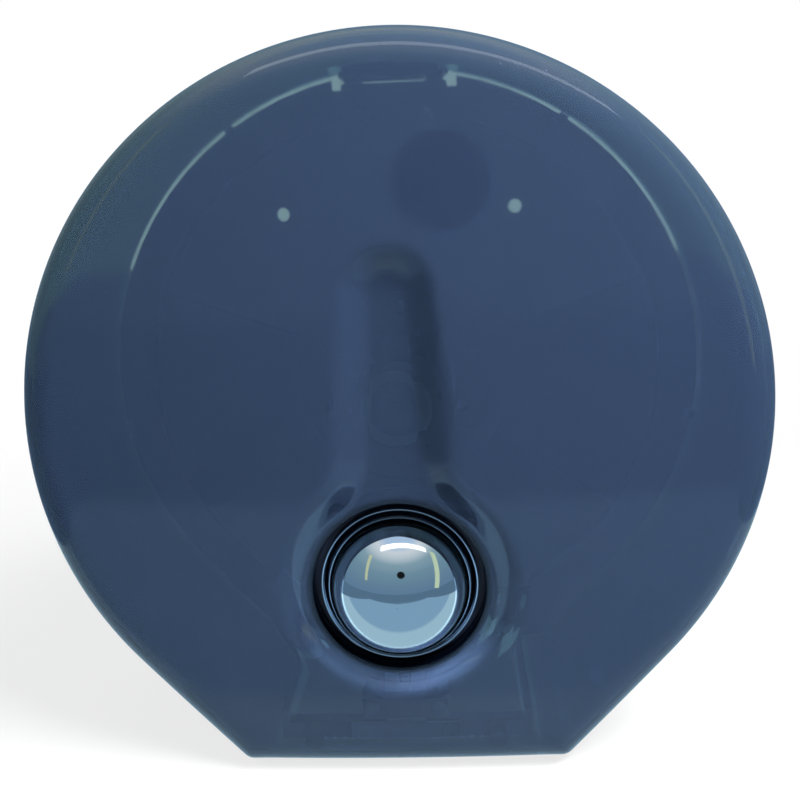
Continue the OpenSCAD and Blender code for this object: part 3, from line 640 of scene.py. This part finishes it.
# Which way the heads look, and for each set of screws the place of its heads' undersides and its length.
TO_FRONT, TO_WALL = (pi / 2, 0, 0), (-pi / 2, 0, 0)
LOCK_STEP = 24.82
screw_tree, rivet_tree = repeat_tree("screws", True), repeat_tree("rivets", False)
for node, places, facing, length in (
        ("lock_screws", [(x, -97.2, BUTTON[1] + z) for x in (-LOCK_STEP, LOCK_STEP)
                         for z in (LOCK_STEP, -LOCK_STEP)], TO_WALL, 7.0),
        ("guide_screws", [(x, -104.8, -117) for x in (-13, 13)], TO_FRONT, 8.6),
        ("bracket_screws", [(x, -5.2, 116) for x in (-14, 14)], TO_FRONT, 4.4),
        ("spindle_screws", [(0, -5.6, 31), (-26.85, -5.6, -15.5), (26.85, -5.6, -15.5)], TO_FRONT, 4.6),
        ("chute_screws", [(x, -6.0, -112) for x in (-42, -15, 15, 42)], TO_FRONT, 5.1),
        ("keeper_screws", [(x, -104.7, -127.2) for x in (-17, 17)], TO_FRONT, 6.5)):
    repeated(node, screw_tree, pan_head(length), places, facing, RECESS, HEAD_T / MM)
upset_head = [(2.2, 1.2), (1.8, 1.6), (1.1, 1.88), (0.01, 2.0)]
rivet = [(r, -z) for r, z in upset_head[::-1]] + [(1.4, -1.2), (1.4, 1.2)] + upset_head
rivet_places = [(x, y, -127) for x in (-36, 0, 36) for y in (-96.3, -5.8)]
repeated("tear_bar_rivets", rivet_tree, rivet, rivet_places, TO_FRONT)

# The springs: round steel wire wound to a helix, one behind the button and one over the latch bar.


def coil(node, start, axis, mean, wire, length, turns):
    """A helix of round wire from start along axis, in mm in the row frame, in place of the CAD's."""
    along = Vector(axis)
    across = along.orthogonal().normalized()
    other = along.cross(across)
    around, sides = 30, 10
    steps = around * turns
    points = []
    for i in range(steps + 1):
        angle = 2 * pi * i / around
        outward = cos(angle) * across + sin(angle) * other
        centre = Vector(start) + along * (wire + (length - 2 * wire) * i / steps) + mean * outward
        for k in range(sides):
            edge = cos(2 * pi * k / sides) * outward + sin(2 * pi * k / sides) * along
            points.append((centre + wire * edge) / MM)
    faces = []
    for i in range(steps):
        here, there = i * sides, (i + 1) * sides
        faces += [(here + (k + 1) % sides, here + k, there + k, there + (k + 1) % sides)
                  for k in range(sides)]
    faces += [tuple(range(sides)), tuple(steps * sides + k for k in reversed(range(sides)))]
    mesh = bpy.data.meshes.new(node)
    mesh.from_pydata(points, [], faces)
    skin = bmesh.new()
    skin.from_mesh(mesh)
    bmesh.ops.recalc_face_normals(skin, faces=skin.faces)
    skin.to_mesh(mesh)
    skin.free()
    mesh.shade_smooth()
    mesh.materials.append(steel)
    made = bpy.data.objects.new("wound_" + node, mesh)
    scene.collection.objects.link(made)
    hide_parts(node)
    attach(made, body_of[node])
    return made


spring = coil("button_spring", (0, -99.31, BUTTON[1]), (0, -1, 0), 4.55, 0.45, 15.59, 7)
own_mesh(spring)
spring = coil("latch_spring", (0, -101.0, -97.56), (0, 0, -1), 1.4, 0.25, 12.88, 7)
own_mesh(spring)
